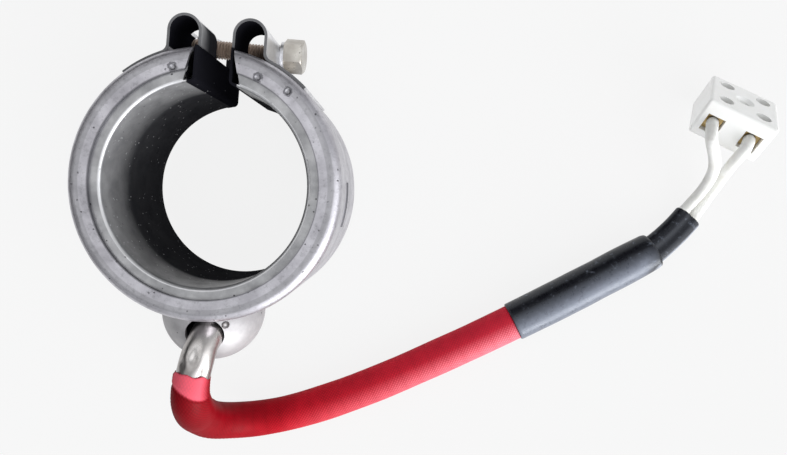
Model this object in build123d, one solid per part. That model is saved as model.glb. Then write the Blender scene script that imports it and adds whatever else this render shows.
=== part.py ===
from build123d import *
import math
import os

# Band heater for a round barrel or nozzle, standing on one end face.
# Millimetres. Origin: on the bore's axis at the middle of the band's width.
# +Z runs along the bore, the split and its clamp point to +Y, the terminal dome to -Y.
# Every size below is a driving dimension; what seats on or in another piece is worked out from them.

# The band
bore_radius = 25.0
band_width = 40.0
band_thickness = 8.5
casing_wall = 0.8
casing_corner_radius = 2.4
casing_flange_width = 5.6
sheath_wall = 0.6
sheath_edge_radius = 1.0
sheath_flange_width = 4.5

# The split
lip_half_gap = 4.1
lip_bend_radius = 1.4
casing_end_half_gap = 4.75
flange_cut_widening = 1.35
seat_clearance = 0.05

# The heating element between the two sheets
layer_end_angle = 14.0
layer_end_clearance = 0.4
mica_thickness = 0.6
card_thickness = 0.5
ribbon_thickness = 0.15
ribbon_width = 2.4
ribbon_turns = 22
strip_thickness = 0.3
strip_width = 4.0
strip_end_angle = 17.0
eyelet_radius = 1.2
post_half_spacing = 4.0
post_radius = 1.5
post_tip_reach = 0.8
post_nut_radius = 2.5
post_nut_height = 2.0
blanket_window_radius = 8.0

# Marks pressed into the sheet
tack_radius = 1.1
tack_depth = 0.3
tack_places = [(108.6, 1.0), (67.1, 1.0), (52.0, 2.5)]
bead_height = 0.5
bead_width = 3.0
bead_arc = 20.0
bead_offset = 5.0
bead_angle = -3.0

# The clamp
lug_thickness = 0.7
lug_width = 35.0
lug_strap_angle = 41.0
loop_inner_radius = 3.5
loop_half_spacing = 8.0
loop_axis_rise = 3.4
loop_window_half = 5.5
loop_window_reach = 2.9
lug_foot_radius = 1.9
screw_radius = 2.45
screw_axis_rise = 3.3
screw_hole_clearance = 0.35
thread_clearance = 0.05
head_across_flats = 8.0
head_height = 5.0
nut_height = 4.0
washer_thickness = 1.0
washer_radius = 3.65
screw_tip_reach = 1.8
chamfer_drop = 0.5

# The terminal dome and the elbow
dome_radius = 12.4
dome_wall = 0.8
dome_side_shift = -1.9
dome_centre_inset = 1.05
dome_hole_radius = 5.0
bush_radius = 6.4
bush_outer_height = 2.6
bush_inset = 0.6
tube_radius = 4.3
tube_wall = 0.8
weld_radius = 1.1
weld_side = 5.7
weld_offset = 1.3

# The lead
sleeve_radius = 5.2
shrink_radius = 5.7
flat_shrink_width = 8.4
flat_shrink_height = 4.8
wire_radius = 1.8
conductor_radius = 1.1
stripped_length = 0.5

# The terminal block, leaning on its lower back edge
block_width = 19.0
block_length = 20.0
block_height = 10.5
block_edge_radius = 0.8
pole_spacing = 10.4
channel_width = 4.8
channel_height = 4.4
connector_width = 4.6
connector_length = 15.0
connector_bore_radius = 1.5
well_radius = 2.1
terminal_screw_radius = 1.45
terminal_screw_length = 3.6
terminal_screw_spacing = 11.4
slot_width = 0.7
slot_depth = 0.9
fixing_hole_radius = 1.9
fixing_countersink = 0.8

casing_outer_radius = bore_radius + band_thickness
casing_lap_radius = casing_outer_radius - casing_flange_width
loop_axis_height = casing_outer_radius + loop_axis_rise
screw_axis_height = casing_outer_radius + screw_axis_rise
half_width = band_width / 2
table = -half_width
full_turn = 360.0
split_side = 90.0
dome_side = 270.0
over = 4.0


def on_band(angle, radius, height=0.0):
    """A point on a circle round the bore's axis, its angle in degrees from +X."""
    turn = math.radians(angle)
    return Vector(radius * math.cos(turn), radius * math.sin(turn), height)


def rotated(shape, angle):
    """The shape turned about the bore's axis."""
    return Rot(0, 0, angle) * shape


def band_ring(profile, end_angle):
    """Revolve a profile in radius and height, leaving end_angle open each side of the split."""
    open_angle = 2 * end_angle
    ring = revolve(Plane.XZ * profile, Axis.Z, full_turn - open_angle)
    return rotated(ring, split_side + end_angle)


def layer(inner, outer, half_height, end_angle=layer_end_angle):
    """A flat layer bent round the band."""
    section = Pos((inner + outer) / 2, 0) * Rectangle(outer - inner, 2 * half_height)
    return band_ring(section, end_angle)


def corner_near(shape, x, y):
    """The corner of a flat shape that lies nearest to a point."""
    return shape.vertices().sort_by_distance((x, y, 0))[0]


def upright(face, half_height):
    """A flat shape in the band's plane, made solid to both sides of it."""
    return extrude(face, half_height, both=True)


def cut_line_x(y):
    """Half the opening between the slanted flange ends at a height y above the bore's axis."""
    return casing_end_half_gap + flange_cut_widening * (casing_outer_radius - y) / casing_flange_width


def split_wedge():
    """What the split takes out of both flanges: straight at the wall, slanted below it."""
    top = casing_outer_radius + over
    low = bore_radius - 1
    points = [
        (casing_end_half_gap, top),
        (casing_end_half_gap, casing_outer_radius),
        (cut_line_x(low), low),
        (-cut_line_x(low), low),
        (-casing_end_half_gap, casing_outer_radius),
        (-casing_end_half_gap, top),
    ]
    return upright(Polygon(*points, align=None), half_width + over)


# Radii and heights that follow from the sheets
sheath_outer_radius = bore_radius + sheath_wall
sheath_half = half_width - casing_wall
sheath_flange_radius = bore_radius + sheath_flange_width
casing_inner_radius = casing_outer_radius - casing_wall
layer_half = sheath_half - sheath_wall - layer_end_clearance
lip_top = casing_outer_radius - seat_clearance

# The layers, from the sheath outwards
inner_mica_radius = sheath_outer_radius + seat_clearance
card_radius = inner_mica_radius + mica_thickness + ribbon_thickness + 2 * seat_clearance
card_outer_radius = card_radius + card_thickness
outer_mica_radius = card_outer_radius + ribbon_thickness + 2 * seat_clearance
strip_radius = outer_mica_radius + mica_thickness + seat_clearance
strip_outer_radius = strip_radius + strip_thickness
blanket_radius = strip_outer_radius + seat_clearance
blanket_outer_radius = casing_inner_radius - layer_end_clearance


def inner_sheath():
    """The bore's sheet: wall, a flange rolled out at each end, and a lip turned out at the split."""
    section = Polygon(
        (bore_radius, -sheath_half),
        (sheath_flange_radius, -sheath_half),
        (sheath_flange_radius, -sheath_half + sheath_wall),
        (sheath_outer_radius, -sheath_half + sheath_wall),
        (sheath_outer_radius, sheath_half - sheath_wall),
        (sheath_flange_radius, sheath_half - sheath_wall),
        (sheath_flange_radius, sheath_half),
        (bore_radius, sheath_half),
        align=None,
    )
    for side in (-1, 1):
        section = fillet(corner_near(section, bore_radius, side * sheath_half), sheath_edge_radius)
    shell = revolve(Plane.XZ * section, Axis.Z, full_turn) - split_wedge()
    for side in (-1, 1):
        shell += sheath_lip(side)
    return shell


def sheath_lip(side):
    """One end of the sheath's wall, bent out through the split."""
    low = bore_radius - 2
    high = sheath_outer_radius + 1
    window = Polygon(
        (lip_half_gap, low),
        (cut_line_x(low), low),
        (cut_line_x(high), high),
        (lip_half_gap, high),
        align=None,
    )
    wall_end = (Circle(sheath_outer_radius) - Circle(bore_radius)) & window
    foot = math.sqrt(bore_radius**2 - lip_half_gap**2)
    lip = Pos(lip_half_gap + sheath_wall / 2, (foot + lip_top) / 2) * Rectangle(
        sheath_wall, lip_top - foot
    )
    outline = wall_end + lip
    back = math.sqrt(sheath_outer_radius**2 - (lip_half_gap + sheath_wall) ** 2)
    outline = fillet(corner_near(outline, lip_half_gap, foot), lip_bend_radius)
    outline = fillet(
        corner_near(outline, lip_half_gap + sheath_wall, back), lip_bend_radius - sheath_wall
    )
    if side < 0:
        outline = mirror(outline, Plane.YZ)
    return upright(outline, sheath_half - sheath_wall / 2)


def outer_casing():
    """The outer sheet: wall, and a flange lapped over the sheath at each end."""
    section = Polygon(
        (casing_lap_radius, -half_width),
        (casing_outer_radius, -half_width),
        (casing_outer_radius, half_width),
        (casing_lap_radius, half_width),
        (casing_lap_radius, half_width - casing_wall),
        (casing_inner_radius, half_width - casing_wall),
        (casing_inner_radius, -half_width + casing_wall),
        (casing_lap_radius, -half_width + casing_wall),
        align=None,
    )
    inside_corner = casing_corner_radius - casing_wall
    for side in (-1, 1):
        outer = corner_near(section, casing_outer_radius, side * half_width)
        section = fillet(outer, casing_corner_radius)
        inner = corner_near(section, casing_inner_radius, side * (half_width - casing_wall))
        section = fillet(inner, inside_corner)
    shell = revolve(Plane.XZ * section, Axis.Z, full_turn) - split_wedge()
    shell += bead()
    shell -= dome_axis_rod(bush_radius + seat_clearance, bore_radius, casing_outer_radius + over)
    for angle, inset in tack_places:
        dent = Pos(*on_band(angle, casing_lap_radius + inset, half_width + tack_radius - tack_depth))
        shell -= dent * Sphere(tack_radius)
    return shell


def bead():
    """A short stiffening bead raised on the casing's wall."""
    section = Pos(casing_outer_radius, bead_offset) * Ellipse(bead_height, bead_width / 2)
    inside = Pos(casing_outer_radius - bead_width / 2, bead_offset) * Rectangle(bead_width, bead_width)
    ring = revolve(Plane.XZ * (section - inside), Axis.Z, bead_arc)
    return rotated(ring, bead_angle - bead_arc / 2)


def dome_axis_rod(radius, near, far):
    """A rod on the terminal's axis, from one distance out from the bore's axis to another."""
    rod = Plane(origin=(0, -near, 0), z_dir=(0, -1, 0)) * Circle(radius)
    return extrude(rod, far - near)


def resistance_ribbon():
    """Flat wire wound on the card: a run inside and a run outside, joined over the card's edges."""
    start = split_side + strip_end_angle
    pitch = (full_turn - 2 * strip_end_angle) / ribbon_turns
    half_pitch = pitch / 2
    inside = card_radius - seat_clearance - ribbon_thickness
    outside = card_outer_radius + seat_clearance
    run_half = layer_half - ribbon_thickness
    depth = outside + ribbon_thickness - inside
    ribbon = []
    for turn in range(ribbon_turns):
        angle = start + turn * pitch
        ribbon.append(ribbon_run(angle, outside, run_half))
        ribbon.append(ribbon_step(angle, half_pitch, inside, depth, run_half))
        ribbon.append(ribbon_run(angle + half_pitch, inside, run_half))
        ribbon.append(ribbon_step(angle + half_pitch, half_pitch, inside, depth, -run_half))
    ribbon.append(ribbon_run(start + ribbon_turns * pitch, outside, run_half))
    wound = ribbon[0].fuse(*ribbon[1:])
    return wound & Cylinder(outside + ribbon_thickness, band_width)


def ribbon_run(angle, radius, run_half):
    """One straight length of the ribbon, along the bore."""
    strip = Box(ribbon_thickness, ribbon_width, 2 * run_half)
    return rotated(Pos(radius + ribbon_thickness / 2, 0, 0) * strip, angle)


def ribbon_step(angle, step, inside, depth, height):
    """The ribbon's way over the card's edge, from one run to the next."""
    reach = math.radians(step) * (inside + depth) + ribbon_width
    bridge = Box(depth, reach, ribbon_thickness)
    return rotated(Pos(inside + depth / 2, 0, height) * bridge, angle + step / 2)


def lead_strip(side):
    """A flat connection from the winding's end at the split to the post under the dome."""
    post_angle = math.degrees(math.asin(post_half_spacing / strip_radius))
    post_side = dome_side + side * post_angle
    arc = full_turn / 2 - strip_end_angle - post_angle
    section = Pos((strip_radius + strip_outer_radius) / 2, 0) * Rectangle(strip_thickness, strip_width)
    strip = revolve(Plane.XZ * section, Axis.Z, arc)
    strip = rotated(strip, post_side if side > 0 else post_side - arc)
    end_angle = post_side + side * arc
    eyelet = Plane(
        origin=on_band(end_angle, card_outer_radius + seat_clearance + ribbon_thickness),
        z_dir=on_band(end_angle, 1),
    ) * Circle(eyelet_radius)
    eyelet = extrude(eyelet, strip_radius - card_outer_radius)
    return strip + eyelet


def terminal_post(side):
    """A stud from the lead strip out through the bush, with its round nut, inside the dome."""
    start = math.sqrt(strip_outer_radius**2 - post_half_spacing**2) - post_radius
    nut_start = casing_outer_radius + bush_outer_height
    nut_end = nut_start + post_nut_height
    post = dome_axis_rod(post_radius, start, nut_end + post_tip_reach)
    post += dome_axis_rod(post_nut_radius, nut_start, nut_end)
    return Pos(side * post_half_spacing, 0, 0) * post - Cylinder(strip_outer_radius, band_width)


def terminal_bush():
    """The ceramic bush that brings both posts through the casing."""
    body = dome_axis_rod(bush_radius, blanket_radius + bush_inset, casing_outer_radius + bush_outer_height)
    for side in (-1, 1):
        hole = Pos(side * post_half_spacing, 0, 0)
        body -= hole * dome_axis_rod(post_radius + seat_clearance, 0, 2 * casing_outer_radius)
    return body


def clamp_lug(side):
    """A strap on the casing whose end is rolled into an open loop, with a window for the screw."""
    strap_inner = casing_outer_radius + seat_clearance
    strap_outer = strap_inner + lug_thickness
    loop_outer_radius = loop_inner_radius + lug_thickness
    wall_inner = loop_half_spacing + loop_inner_radius
    wall_outer = loop_half_spacing + loop_outer_radius
    leg_outer = loop_half_spacing - loop_outer_radius
    far = 2 * casing_outer_radius
    wall_angle = split_side - math.degrees(math.asin(wall_inner / strap_inner))
    end_angle = split_side - lug_strap_angle
    window = Polygon(
        (0, 0),
        (on_band(end_angle, far).X, on_band(end_angle, far).Y),
        (on_band(wall_angle, far).X, on_band(wall_angle, far).Y),
        align=None,
    )
    strap = (Circle(strap_outer) - Circle(strap_inner)) & window
    wall_foot = strap_inner * math.cos(math.asin(wall_outer / strap_inner)) - 1
    wall = Pos((wall_inner + wall_outer) / 2, (wall_foot + loop_axis_height) / 2) * Rectangle(
        lug_thickness, loop_axis_height - wall_foot
    )
    wall -= Circle(strap_inner)
    leg_foot = lip_top + seat_clearance
    leg = Pos(leg_outer + lug_thickness / 2, (leg_foot + loop_axis_height) / 2) * Rectangle(
        lug_thickness, loop_axis_height - leg_foot
    )
    loop = Circle(loop_outer_radius) - Circle(loop_inner_radius)
    upper = Pos(0, loop_outer_radius) * Rectangle(2 * loop_outer_radius, 2 * loop_outer_radius)
    loop = Pos(loop_half_spacing, loop_axis_height) * (loop & upper)
    outline = strap + wall + leg + loop
    crook_y = math.sqrt(strap_outer**2 - wall_outer**2)
    foot_y = math.sqrt(strap_inner**2 - wall_inner**2)
    outline = fillet(corner_near(outline, wall_outer, crook_y), lug_foot_radius)
    outline = fillet(corner_near(outline, wall_inner, foot_y), lug_foot_radius + lug_thickness)
    solid = upright(outline, lug_width / 2)
    window_end = loop_half_spacing + loop_window_reach
    loop_window = Box(far, far, 2 * loop_window_half)
    solid -= Pos(window_end - far / 2, casing_outer_radius + far / 2, 0) * loop_window
    solid -= screw_rod(screw_radius + screw_hole_clearance, 0, far)
    return solid if side > 0 else mirror(solid, Plane.YZ)


def screw_rod(radius, start, end):
    """A rod on the clamp screw's axis between two places along X."""
    disc = Plane(origin=(start, screw_axis_height, 0), z_dir=(1, 0, 0)) * Circle(radius)
    return extrude(disc, end - start)


def hexagon_rod(start, end, chamfered_ends):
    """A hexagonal prism on the screw's axis, its corners turned off at the ends named."""
    corner_radius = head_across_flats / math.sqrt(3)
    across = Plane(origin=(start, screw_axis_height, 0), x_dir=(0, 1, 0), z_dir=(1, 0, 0))
    prism = across * RegularPolygon(corner_radius, 6)
    prism = extrude(prism, end - start)
    turned = screw_rod(corner_radius, start, end)
    for place in chamfered_ends:
        edge = turned.edges().filter_by(GeomType.CIRCLE).sort_by_distance((place, screw_axis_height, 0))[0]
        turned = chamfer(edge, chamfer_drop, 2 * chamfer_drop)
    return prism & turned


# Places along the clamp screw
lug_outer_face = loop_half_spacing + loop_inner_radius + lug_thickness
washer_face = lug_outer_face + seat_clearance
head_face = washer_face + washer_thickness + seat_clearance
nut_face = -lug_outer_face - seat_clearance
nut_back = nut_face - nut_height


def clamp_screw():
    """Hexagon-headed screw through both loops."""
    head = hexagon_rod(head_face, head_face + head_height, [head_face + head_height])
    shank = screw_rod(screw_radius, nut_back - screw_tip_reach, head_face)
    tip = shank.edges().filter_by(GeomType.CIRCLE).sort_by(Axis.X)[0]
    return head + chamfer(tip, chamfer_drop)


def clamp_washer():
    """The flat washer under the screw's head."""
    disc = screw_rod(washer_radius, washer_face, washer_face + washer_thickness)
    return disc - screw_rod(screw_radius + screw_hole_clearance, 0, 2 * washer_face)


def clamp_nut():
    """The nut that the screw draws against the other loop."""
    nut = hexagon_rod(nut_back, nut_face, [nut_back, nut_face])
    return nut - screw_rod(screw_radius + thread_clearance, 2 * nut_back, 0)


# The elbow's middle line: up out of the dome, then over and outwards to the sleeve.
# Each place is across the band, out from the casing, and along the bore.
elbow_places = [
    (-0.88, 4.13, 8.94),
    (-1.4, 6.1, 13.0),
    (-2.05, 14.7, 13.0),
]
elbow_bend_radius = 4.8
elbow_points = [(x, -(casing_outer_radius + out), z) for x, out, z in elbow_places]

# The lead's route along the table, from the elbow to the terminal block
sleeve_points = [
    elbow_points[-1],
    (-2.4355, -53.3, 13.0),
    (-1.5, -59.0, 8.5),
    (-1.7, -62.5, 2.2),
    (-0.4, -66.3, -4.3),
    (4.2, -68.3, -10.9),
    (11.3, -68.3, -14.4),
    (21.0, -65.6, -14.75),
    (33.5, -60.4, -14.75),
    (47.8, -53.3, -14.75),
    (63.5, -44.4, -14.75),
    (75.0, -37.7, -14.6),
    (84.1, -32.0, -14.25),
]
shrink_points = [
    sleeve_points[-1],
    (92.29, -26.87, -13.935),
    (107.5, -17.2, -14.2),
    (122.6, -7.2, -14.25),
]
flat_shrink_start = Vector(121.4, -8.6, -14.6)
flat_shrink_end = Vector(133.4, 3.8, -17.2)
left_wire_points = [
    (130.6, 3.74, -16.9),
    (133.6, 7.7, -16.9),
    (135.3, 11.6, -14.2),
    (135.2, 15.0, -10.0),
    (133.9, 18.0, -5.4),
    (131.0, 20.9, -0.8),
    (128.1, 24.0, 2.4),
    (128.9, 27.7, 0.4),
]
right_wire_points = [
    (133.4, 1.0, -16.9),
    (136.3, 5.4, -17.7),
    (138.4, 9.6, -17.2),
    (139.4, 13.6, -14.4),
    (138.9, 16.6, -9.6),
    (137.6, 19.0, -3.8),
    (136.4, 20.4, 1.2),
    (137.6, 23.0, 2.6),
]


def route(points):
    """Straight runs joined by arcs as large as the shorter of the two runs at each corner allows."""
    places = [Vector(*point) for point in points]
    radii = []
    for before, corner, after in zip(places, places[1:], places[2:]):
        run_in = corner - before
        run_out = after - corner
        turn = math.radians(run_in.get_angle(run_out))
        shorter = min(run_in.length, run_out.length)
        radii.append(0.45 * shorter / math.tan(turn / 2))
    return FilletPolyline(*places, radius=radii), radii


def start_plane(path):
    """The plane across a path at its start."""
    return Plane(origin=path @ 0, z_dir=path % 0)


def elbow_tube():
    """The bent steel tube that carries the lead out of the dome."""
    path = FilletPolyline(*[Vector(*point) for point in elbow_points], radius=elbow_bend_radius)
    section = start_plane(path) * (Circle(tube_radius) - Circle(tube_radius - tube_wall))
    return sweep(section, path)


def dome_ball(radius):
    """The ball that the dome's inside or outside is part of."""
    return Pos(dome_side_shift, dome_centre_inset - casing_outer_radius, 0) * Sphere(radius)


def terminal_dome():
    """The pressed cap over the posts, cut to the casing and pierced for the elbow."""
    shell = dome_ball(dome_radius) - dome_ball(dome_radius - dome_wall)
    shell -= Cylinder(casing_outer_radius + seat_clearance, 4 * dome_radius)
    start = Vector(*elbow_points[0])
    rise = (Vector(*elbow_points[1]) - start).normalized()
    mouth = Plane(origin=start - rise * tube_radius, z_dir=rise) * Circle(dome_hole_radius)
    return shell - extrude(mouth, dome_radius)


def dome_tack_weld():
    """The tack that holds the dome to the casing."""
    out = dome_centre_inset + weld_offset
    rise = math.sqrt(dome_radius**2 - weld_side**2 - out**2)
    place = Pos(dome_side_shift + weld_side, -(casing_outer_radius + weld_offset), rise)
    return place * Sphere(weld_radius) - dome_ball(dome_radius)


def cord_tube(points, radius, name):
    """A length of the lead as a plain rod along its route."""
    path, radii = route(points)
    rod = sweep(start_plane(path) * Circle(radius), path)
    share = rod.volume / (math.pi * radius**2 * path.length)
    print(name, "length", round(path.length, 1), "radii", [round(r, 1) for r in radii])
    print("its volume over section times length", round(share, 4))
    return rod


def flat_shrink():
    """The flattened shrink tube over the two wires."""
    direction = flat_shrink_end - flat_shrink_start
    level = direction.cross(Vector(0, 0, 1)).normalized()
    plane = Plane(origin=flat_shrink_start, x_dir=level, z_dir=direction)
    section = plane * SlotOverall(flat_shrink_width, flat_shrink_height)
    return extrude(section, direction.length)


# The terminal block's own frame: x from pole to pole, y from the lead's side, z out of the screw face
block_x = Vector(0.902, -0.395, 0.174).normalized()
block_lean = Vector(0.214, 0.759, 0.615)
block_z = (block_lean - block_x * block_lean.dot(block_x)).normalized()
block_y = block_z.cross(block_x)
block_rise = -block_y.Z * block_length + block_x.Z * block_width / 2
block_origin = Vector(133.4, 23.3, table + block_rise + seat_clearance)
block_plane = Plane(origin=block_origin, x_dir=block_x, z_dir=block_z)
connector_start = (block_length - connector_length) / 2
screw_places = [
    (block_length - terminal_screw_spacing) / 2,
    (block_length + terminal_screw_spacing) / 2,
]


def in_block(x, y, z):
    """A point in the block's frame, placed in the band's."""
    return block_plane.from_local_coords(Vector(x, y, z))


def block_piece(shape):
    """A shape drawn in the block's frame, placed in the band's."""
    return block_plane.location * shape


def block_bore(x, start, end, radius):
    """A rod along a pole of the block."""
    disc = Plane(origin=(x, start, channel_height), z_dir=(0, 1, 0)) * Circle(radius)
    return extrude(disc, end - start)


def block_well(x, y, start, end, radius):
    """A rod square to the block's screw face."""
    return Pos(x, y, (start + end) / 2) * Cylinder(radius, end - start)


def terminal_block():
    """The glazed ceramic body: two open channels, four screw wells and a fixing hole."""
    body = Pos(0, block_length / 2, block_height / 2) * Box(block_width, block_length, block_height)
    body = fillet(body.edges(), block_edge_radius)
    middle = block_length / 2
    for pole in (-1, 1):
        x = pole * pole_spacing / 2
        body -= Pos(x, middle, channel_height) * Box(channel_width, 2 * block_length, channel_width)
        for y in screw_places:
            body -= block_well(x, y, channel_height, block_height + over, well_radius)
    body -= block_well(0, middle, -over, block_height + over, fixing_hole_radius)
    sink_radius = fixing_hole_radius + fixing_countersink
    sink = Pos(0, middle, block_height - fixing_countersink / 2) * Cone(
        fixing_hole_radius, sink_radius, fixing_countersink
    )
    return block_piece(body - sink)


def connector(pole):
    """The brass bar in one channel, bored for the wires and tapped for two screws."""
    x = pole * pole_spacing / 2
    bar = Pos(x, block_length / 2, channel_height) * Box(connector_width, connector_length, connector_width)
    bar -= block_bore(x, -over, block_length + over, connector_bore_radius)
    for y in screw_places:
        bar -= block_well(x, y, channel_height, block_height, terminal_screw_radius + thread_clearance)
    return block_piece(bar)


def terminal_screw(pole, row):
    """A slotted screw that pinches one wire in its connector."""
    x = pole * pole_spacing / 2
    y = screw_places[row]
    tip = channel_height + connector_bore_radius
    top = tip + terminal_screw_length
    screw = block_well(x, y, tip, top, terminal_screw_radius)
    screw -= Pos(x, y, top) * Box(slot_width, 2 * well_radius, 2 * slot_depth)
    return block_piece(screw)


def conductor(pole):
    """The bare end of a wire, inside its connector."""
    x = pole * pole_spacing / 2
    return block_piece(block_bore(x, connector_start - stripped_length, block_length / 2, conductor_radius))


def lead_wire(points, pole, carrier, name):
    """A braided wire from the flat shrink tube to its conductor in the block."""
    x = pole * pole_spacing / 2
    last = in_block(x, connector_start - stripped_length, channel_height)
    return cord_tube(points + [tuple(last)], wire_radius, name) - carrier


parts = {}
parts["inner_sheath"] = inner_sheath()
parts["outer_casing"] = outer_casing()
parts["inner_mica"] = layer(inner_mica_radius, inner_mica_radius + mica_thickness, layer_half)
parts["winding_card"] = layer(
    card_radius, card_outer_radius, layer_half - 2 * ribbon_thickness - seat_clearance
)
parts["resistance_ribbon"] = resistance_ribbon()
outer_mica = layer(outer_mica_radius, outer_mica_radius + mica_thickness, layer_half)
blanket = layer(blanket_radius, blanket_outer_radius, layer_half)
blanket -= dome_axis_rod(blanket_window_radius, 0, 2 * casing_outer_radius)
for end in (-1, 1):
    strip = lead_strip(end)
    strip_name = "left_lead_strip" if end < 0 else "right_lead_strip"
    parts[strip_name] = strip
    outer_mica -= strip
parts["outer_mica"] = outer_mica
parts["insulation_blanket"] = blanket
parts["terminal_bush"] = terminal_bush()
parts["left_terminal_post"] = terminal_post(-1)
parts["right_terminal_post"] = terminal_post(1)
parts["terminal_dome"] = terminal_dome()
parts["dome_tack_weld"] = dome_tack_weld()
parts["elbow_tube"] = elbow_tube()
parts["left_clamp_lug"] = clamp_lug(-1)
parts["right_clamp_lug"] = clamp_lug(1)
parts["clamp_screw"] = clamp_screw()
parts["clamp_washer"] = clamp_washer()
parts["clamp_nut"] = clamp_nut()
parts["lead_sleeve"] = cord_tube(sleeve_points, sleeve_radius, "lead_sleeve")
shrink = cord_tube(shrink_points, shrink_radius, "shrink_tube")
parts["shrink_tube"] = shrink
wire_shrink = flat_shrink() - shrink
parts["wire_shrink_tube"] = wire_shrink
parts["terminal_block"] = terminal_block()
for pole, pole_name, wire_points in ((-1, "left", left_wire_points), (1, "right", right_wire_points)):
    wire = lead_wire(wire_points, pole, wire_shrink, pole_name + "_lead_wire")
    parts[pole_name + "_lead_wire"] = wire
    parts[pole_name + "_conductor"] = conductor(pole) - wire
    parts[pole_name + "_connector"] = connector(pole)
    for row, row_name in enumerate(("lead", "supply")):
        parts[pole_name + "_" + row_name + "_terminal_screw"] = terminal_screw(pole, row)

os.makedirs("parts", exist_ok=True)
for name, shape in parts.items():
    shape.label = name
    export_step(shape, "parts/" + name + ".step")
print(len(parts), "parts written")
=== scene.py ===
# %% [markdown]
# # Dressing a band heater
# A band heater is a sheet-steel ring that clamps round a barrel or a nozzle and heats it.
# Its solids come in as a fixed frame, in metres, with the bore's axis along Z.
# This lesson gives each of them the finish of the real thing, and models anew the pieces
# whose form is too fine or too soft for a plain solid.

import math

import bpy
import numpy as np
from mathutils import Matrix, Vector, noise


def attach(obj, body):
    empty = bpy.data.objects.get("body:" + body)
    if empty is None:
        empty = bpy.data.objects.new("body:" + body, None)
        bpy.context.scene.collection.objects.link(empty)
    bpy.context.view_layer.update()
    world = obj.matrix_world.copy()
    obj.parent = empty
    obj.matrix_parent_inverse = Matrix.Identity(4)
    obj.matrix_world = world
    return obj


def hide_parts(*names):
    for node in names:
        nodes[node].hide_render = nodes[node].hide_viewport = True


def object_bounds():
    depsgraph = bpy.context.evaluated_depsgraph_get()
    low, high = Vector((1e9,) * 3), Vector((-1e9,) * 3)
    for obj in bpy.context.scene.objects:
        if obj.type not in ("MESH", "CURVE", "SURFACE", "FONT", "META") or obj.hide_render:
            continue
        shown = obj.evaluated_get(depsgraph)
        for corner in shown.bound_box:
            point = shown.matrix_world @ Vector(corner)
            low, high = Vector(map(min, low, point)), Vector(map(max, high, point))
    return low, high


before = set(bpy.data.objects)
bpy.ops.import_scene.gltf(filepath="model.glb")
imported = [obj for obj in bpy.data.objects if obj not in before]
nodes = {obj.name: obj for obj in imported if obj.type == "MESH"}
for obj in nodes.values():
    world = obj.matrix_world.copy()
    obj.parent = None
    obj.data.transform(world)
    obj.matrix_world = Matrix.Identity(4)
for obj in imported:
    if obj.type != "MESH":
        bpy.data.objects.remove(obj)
solid_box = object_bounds()
MM = 0.001
print("solids in the frame:", len(nodes))

# %% [markdown]
# ## The camera
# The picture was taken from above, a little to the right of the ring, with a lens as wide as
# the frame is. Circles fitted to the ring's two rims gave the place, the turn and the lens.

# %% The camera
CAMERA_PLACE = Vector((48.6, -0.2, 163.4)) * MM
CAMERA_TURN = [math.radians(angle) for angle in (-2.2176, 0.9713, 5.1920)]
FOCAL_PIXELS = 600.0
PICTURE_WIDTH = 787.0
SENSOR = 36.0
NEAREST_SEEN = 0.01

lens = bpy.data.cameras.new("camera")
lens.sensor_width = SENSOR
lens.lens = FOCAL_PIXELS / PICTURE_WIDTH * SENSOR
lens.clip_start = NEAREST_SEEN
camera = bpy.data.objects.new("camera", lens)
camera.location = CAMERA_PLACE
camera.rotation_euler = CAMERA_TURN
bpy.context.scene.collection.objects.link(camera)
bpy.context.scene.camera = camera
print("lens", round(lens.lens, 1), "mm")

# %% [markdown]
# ## Light
# The steel shows what stands round it, so the light is drawn as much by the world as by the
# lamps. The world is dark on the far side and rises smoothly towards the side that the light
# comes from, right and in front. There it is brightest, as a window would be.

# %% Node helper
def node(tree, kind, inputs=None, **settings):
    """Add a shader node. An input is a number, a colour or another node's output."""
    made = tree.nodes.new("ShaderNode" + kind)
    for key, value in settings.items():
        setattr(made, key, value)
    for key, value in (inputs or {}).items():
        if isinstance(value, bpy.types.NodeSocket):
            tree.links.new(value, made.inputs[key])
        else:
            made.inputs[key].default_value = value
    return made


# %% World
LIGHT_SIDE = Vector((0.72, -0.55, 0.40)).normalized()
SKY_COLOUR = (0.97, 0.985, 1.0, 1.0)
WORLD_LOW = 0.06
WORLD_MIDDLE = 0.66
WORLD_EXTRA = 1.3
# How far a direction leans to the light side, from -1 to 1, where each rise starts and ends
ROUND_RISE = (-0.6, 0.4)
SIDE_RISE = (0.45, 0.9)


def world_rise(tree, leaning, ends, dim, bright):
    """A brightness that rises smoothly from dim to bright as a direction leans to the light."""
    made = node(
        tree,
        "MapRange",
        {
            "Value": leaning,
            "From Min": ends[0],
            "From Max": ends[1],
            "To Min": dim,
            "To Max": bright,
        },
        interpolation_type="SMOOTHSTEP",
    )
    return made.outputs["Result"]


world = bpy.data.worlds.new("studio")
bpy.context.scene.world = world
world.use_nodes = True
tree = world.node_tree
sky = tree.nodes["Background"]
direction = node(tree, "TexCoord").outputs["Generated"]
towards = node(tree, "VectorMath", {0: direction, 1: LIGHT_SIDE}, operation="DOT_PRODUCT")
leaning = towards.outputs["Value"]
round_level = world_rise(tree, leaning, ROUND_RISE, WORLD_LOW, WORLD_MIDDLE)
side_level = world_rise(tree, leaning, SIDE_RISE, 0.0, WORLD_EXTRA)
level = node(tree, "Math", {0: round_level, 1: side_level}, operation="ADD")
tree.links.new(level.outputs[0], sky.inputs["Strength"])
sky.inputs["Color"].default_value = SKY_COLOUR
print("brightest part of the world:", round(WORLD_MIDDLE + WORLD_EXTRA, 2))

# %% [markdown]
# ## Lamps
# One wide sun from the light side gives the form, and is low enough to graze the sheets. A weak
# one from the other side, nearly overhead, keeps the shadows open. A sun lights evenly, as a
# window far away does, and its width sets how soft the shadows are.

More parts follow.
